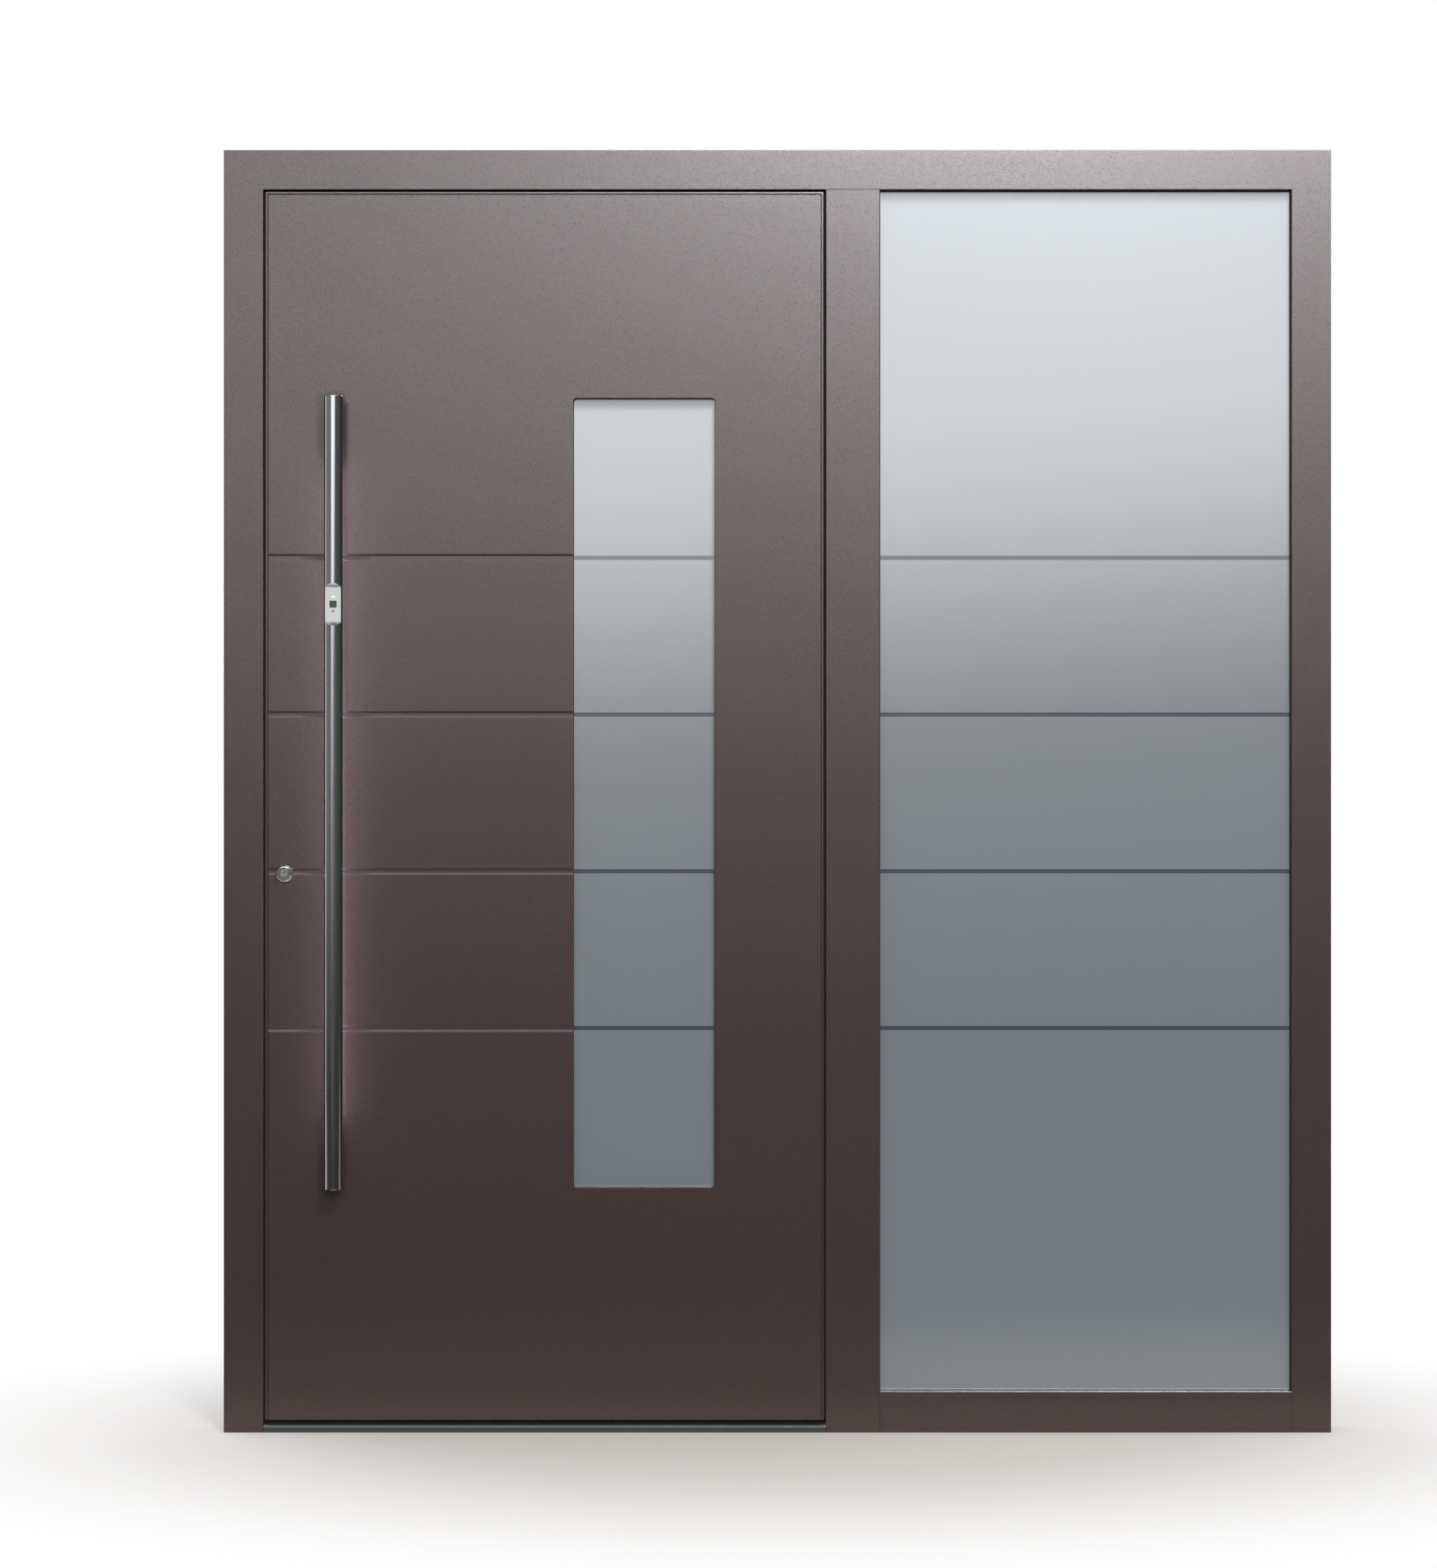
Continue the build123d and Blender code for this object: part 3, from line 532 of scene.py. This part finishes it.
metal = {"Metallic": 1.0}
upright = {"scale": 1.0, "stretch": (900, 900, 6), "surface": metal}  # brushed up and down
crosswise = {"scale": 1.0, "stretch": (6, 900, 900), "surface": metal}
plain = {
    "spacer_black": {
        "dark": tone(24, 24, 25), "light": tone(34, 34, 36), "roughness": 0.55, "relief": 0.1,
        "scale": 300.0, "surface": {"Specular_IOR_Level": 0.2},
    },
    "threshold_dark": {
        "dark": tone(43, 43, 42), "light": tone(51, 51, 50), "roughness": 0.5, "relief": 0.1,
        "scale": 260.0, "surface": {"Specular_IOR_Level": 0.08},
    },
    "threshold_aluminium": {
        "dark": tone(92, 91, 89), "light": tone(112, 110, 107), "roughness": 0.32, "relief": 0.1,
        **crosswise,
    },
    "brushed_steel": {
        "dark": tone(176, 179, 182), "light": tone(194, 196, 198), "roughness": 0.10, "relief": 0.06,
        **upright,
    },
    "lock_steel": {
        "dark": tone(160, 160, 160), "light": tone(186, 186, 186), "roughness": 0.3, "relief": 0.15,
        **upright,
    },
    "hinge_metal": {
        "dark": tone(172, 173, 175), "light": tone(192, 193, 194), "roughness": 0.28, "relief": 0.12,
        **upright,
    },
    "polished_rosette": {
        "dark": tone(190, 190, 190), "light": tone(206, 206, 206), "roughness": 0.08, "relief": 0.03,
        "scale": 600.0, "spread": 0.04, "surface": metal,
    },
    "key_plug": {
        "dark": tone(118, 117, 114), "light": tone(142, 141, 138), "roughness": 0.2, "relief": 0.04,
        "scale": 900.0, "surface": metal,
    },
    "sensor_dark": {
        "dark": tone(30, 31, 33), "light": tone(44, 45, 47), "roughness": 0.14, "relief": 0.05,
        "scale": 1500.0, "surface": {},
    },
}


def plainFinish(name):
    row = plain[name]
    material, look = newFinish(name)
    where = look.place(row.get("stretch", (1, 1, 1)))
    grain = look.noise(where, row["scale"], 4.0, 0.6)
    colour = look.mix(grain, row["dark"], row["light"])
    spread = row.get("spread", 0.10)
    rough = grain * spread + (row["roughness"] - spread / 2)
    relief = look.bump(grain, row["relief"])
    look.send(look.shade(Base_Color=colour, Roughness=rough, Normal=relief, **row["surface"]))
    return material


makers = {
    "frame_paint": brownPaint,
    "leaf_paint": brownPaint,
    "satin_glass": satinGlass,
    "clear_glass": clearGlass,
    "seal_rubber": sealRubber,
    "light_diffuser": lightDiffuser,
    "reader_grey": readerGrey,
    "lamp_green": lampGreen,
}
finishes = {name: make(name) for name, make in makers.items()}
finishes.update({name: plainFinish(name) for name in plain})


def dressNodes():
    for row in frame["record"]["subparts"]:
        mesh = nodes[row["node"]].data
        mesh.materials.clear()
        mesh.materials.append(finishes[row["material_slot"]])


dressNodes()
print("finishes on:", len(finishes))


# smooth shading of the round faces, with their real edges kept sharp

smooth = {"merge": 0.01 * mm, "angle": math.radians(32), "weight": 100}


def smoothGroup():
    group = bpy.data.node_groups.new("round_faces", "GeometryNodeTree")
    group.interface.new_socket("Geometry", in_out="INPUT", socket_type="NodeSocketGeometry")
    group.interface.new_socket("Geometry", in_out="OUTPUT", socket_type="NodeSocketGeometry")
    add = group.nodes.new
    start = add("NodeGroupInput")
    weld = add("GeometryNodeMergeByDistance")
    weld.inputs["Distance"].default_value = smooth["merge"]
    faces = add("GeometryNodeSetShadeSmooth")
    faces.domain = "FACE"
    angle = add("GeometryNodeInputMeshEdgeAngle")
    flat = add("FunctionNodeCompare")
    flat.operation = "LESS_THAN"
    flat.inputs[1].default_value = smooth["angle"]
    edges = add("GeometryNodeSetShadeSmooth")
    edges.domain = "EDGE"
    end = add("NodeGroupOutput")
    join = group.links.new
    join(start.outputs[0], weld.inputs["Geometry"])
    join(weld.outputs[0], faces.inputs["Geometry"])
    join(faces.outputs[0], edges.inputs["Geometry"])
    join(angle.outputs["Unsigned Angle"], flat.inputs[0])
    join(flat.outputs[0], edges.inputs["Shade Smooth"])
    join(edges.outputs[0], end.inputs[0])
    return group


def smoothNodes():
    group = smoothGroup()
    for node in nodes.values():
        node.modifiers.new("round_faces", "NODES").node_group = group
        level = node.modifiers.new("level_faces", "WEIGHTED_NORMAL")  # big faces stay flat
        level.mode = "FACE_AREA"
        level.weight = smooth["weight"]
        level.keep_sharp = True


smoothNodes()
print("round faces smoothed")


# small pieces that the CAD leaves out

def newPiece(name, shape, body, slot):
    bmesh.ops.remove_doubles(shape, verts=shape.verts, dist=0.001 * mm)
    bmesh.ops.recalc_face_normals(shape, faces=shape.faces)
    mesh = bpy.data.meshes.new(name)
    shape.to_mesh(mesh)
    shape.free()
    mesh.materials.append(finishes[slot])
    piece = bpy.data.objects.new(name, mesh)
    scene.collection.objects.link(piece)
    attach(piece, body)


screw = {
    "segments": 24,
    "taper": 0.86,
    "sunk": 0.2 * mm,
    "rim": 0.42,        # of the radius
    "lobes": 6,
    "lobeDepth": 0.16,
    "recess": 0.8,      # of the rise
    "twist": 0.7,       # no two screws stop alike
}


def screwHead(radius, rise):  # low head with a six-lobed recess, standing on the plane z = 0
    head = bmesh.new()
    depth = rise + screw["sunk"]
    bmesh.ops.create_cone(
        head, cap_ends=True, segments=screw["segments"],
        radius1=radius, radius2=radius * screw["taper"], depth=depth,
    )
    bmesh.ops.translate(head, verts=head.verts, vec=(0, 0, rise - depth / 2))
    top = max(head.faces, key=lambda face: face.calc_center_median().z)
    bmesh.ops.inset_region(head, faces=[top], thickness=radius * screw["rim"])
    for vert in top.verts:
        turn = math.atan2(vert.co.y, vert.co.x)
        stretch = 1 + screw["lobeDepth"] * math.cos(screw["lobes"] * turn)
        vert.co.x *= stretch
        vert.co.y *= stretch
    sunken = bmesh.ops.extrude_discrete_faces(head, faces=[top])["faces"][0]
    bmesh.ops.translate(head, verts=sunken.verts, vec=(0, 0, -rise * screw["recess"]))
    return head


def screwRow(name, body, slot, spots, facing, size):
    shape = bmesh.new()
    turn = Vector((0, 0, 1)).rotation_difference(Vector(facing)).to_matrix().to_4x4()
    for index, spot in enumerate(spots):
        head = screwHead(size["radius"], size["rise"])
        twist = Matrix.Rotation(index * screw["twist"], 4, "Z")
        bmesh.ops.transform(head, matrix=Matrix.Translation(spot) @ turn @ twist, verts=head.verts)
        single = bpy.data.meshes.new("screw_head")
        head.to_mesh(single)
        head.free()
        shape.from_mesh(single)
        bpy.data.meshes.remove(single)
    newPiece(name, shape, body, slot)


hinge = {
    "heights": [262 * mm, 1083 * mm, 1904 * mm],
    "rows": [(-38 * mm, 9 * mm), (0.0, -7 * mm), (38 * mm, 9 * mm)],  # up, and out from the middle
    "plateMiddle": 32 * mm,
    "plateThickness": 6 * mm,
    "radius": 5.2 * mm,
    "rise": 0.7 * mm,
}


def hingeScrews():
    low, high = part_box("hinge_pins")
    axis = (low.x + high.x) / 2
    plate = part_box("right_jamb")[1].y + hinge["plateThickness"]
    for node, body, side in (("hinge_frame_halves", "frame", 1), ("hinge_leaf_halves", "leaf", -1)):
        spots = []
        for height in hinge["heights"]:
            for up, out in hinge["rows"]:
                spots.append((axis + side * (hinge["plateMiddle"] + out), plate, height + up))
        screwRow(node + "_screws", body, "hinge_metal", spots, (0, 1, 0), hinge)


lock = {
    "depth": 12 * mm,
    "faceplateHeights": [240 * mm, 560 * mm, 900 * mm, 1130 * mm, 1460 * mm, 1926 * mm],
    "keepHeights": [365 * mm, 439 * mm, 952 * mm, 1024 * mm, 1090 * mm, 1727 * mm, 1801 * mm],
    "radius": 4.2 * mm,
    "rise": 0.3 * mm,
}


def lockScrews():
    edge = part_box("lock_faceplate")[0].x
    spots = [(edge, lock["depth"], height) for height in lock["faceplateHeights"]]
    screwRow("faceplate_screws", "leaf", "lock_steel", spots, (-1, 0, 0), lock)
    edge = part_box("keep_plates")[1].x
    spots = [(edge, lock["depth"], height) for height in lock["keepHeights"]]
    screwRow("keep_screws", "frame", "lock_steel", spots, (1, 0, 0), lock)


mark = {
    "down": 13.2 * mm,      # below the reader's sensor
    "wellDepth": 0.9 * mm,
    "ridges": [  # radius in mm, sweep and turn in degrees
        (0.5, 250, 20), (1.15, 235, -35), (1.8, 225, 15), (2.45, 205, -20),
    ],
    "tall": 1.25,
    "width": 0.34 * mm,
    "rise": 0.06 * mm,
    "steps": 20,
}


def fingerMark():  # ridges of a finger, under the sensor
    sensorLow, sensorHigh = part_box("reader_sensor")
    centre = (sensorLow + sensorHigh) / 2
    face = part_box("reader_housing")[0].y + mark["wellDepth"]
    shape = bmesh.new()
    for radius, sweep, turn in mark["ridges"]:
        inner = radius * mm
        outer = inner + mark["width"]
        corners = [(inner, 0), (outer, 0), (outer, -mark["rise"]), (inner, -mark["rise"])]
        profile = shape.faces.new([shape.verts.new((x, y, 0)) for x, y in corners])
        start = Matrix.Rotation(math.radians(turn + sweep / 2 - 90), 4, "Y")
        bmesh.ops.transform(shape, matrix=start, verts=profile.verts)
        geom = list(profile.verts) + list(profile.edges) + [profile]
        bmesh.ops.spin(
            shape, geom=geom, cent=(0, 0, 0), axis=(0, 1, 0),
            angle=-math.radians(sweep), steps=mark["steps"],
        )
    bmesh.ops.scale(shape, vec=(1, 1, mark["tall"]), verts=shape.verts)
    bmesh.ops.translate(shape, vec=(centre.x, face, centre.z - mark["down"]), verts=shape.verts)
    newPiece("reader_finger_mark", shape, "leaf", "sensor_dark")


hingeScrews()
lockScrews()
fingerMark()
print("small pieces on")
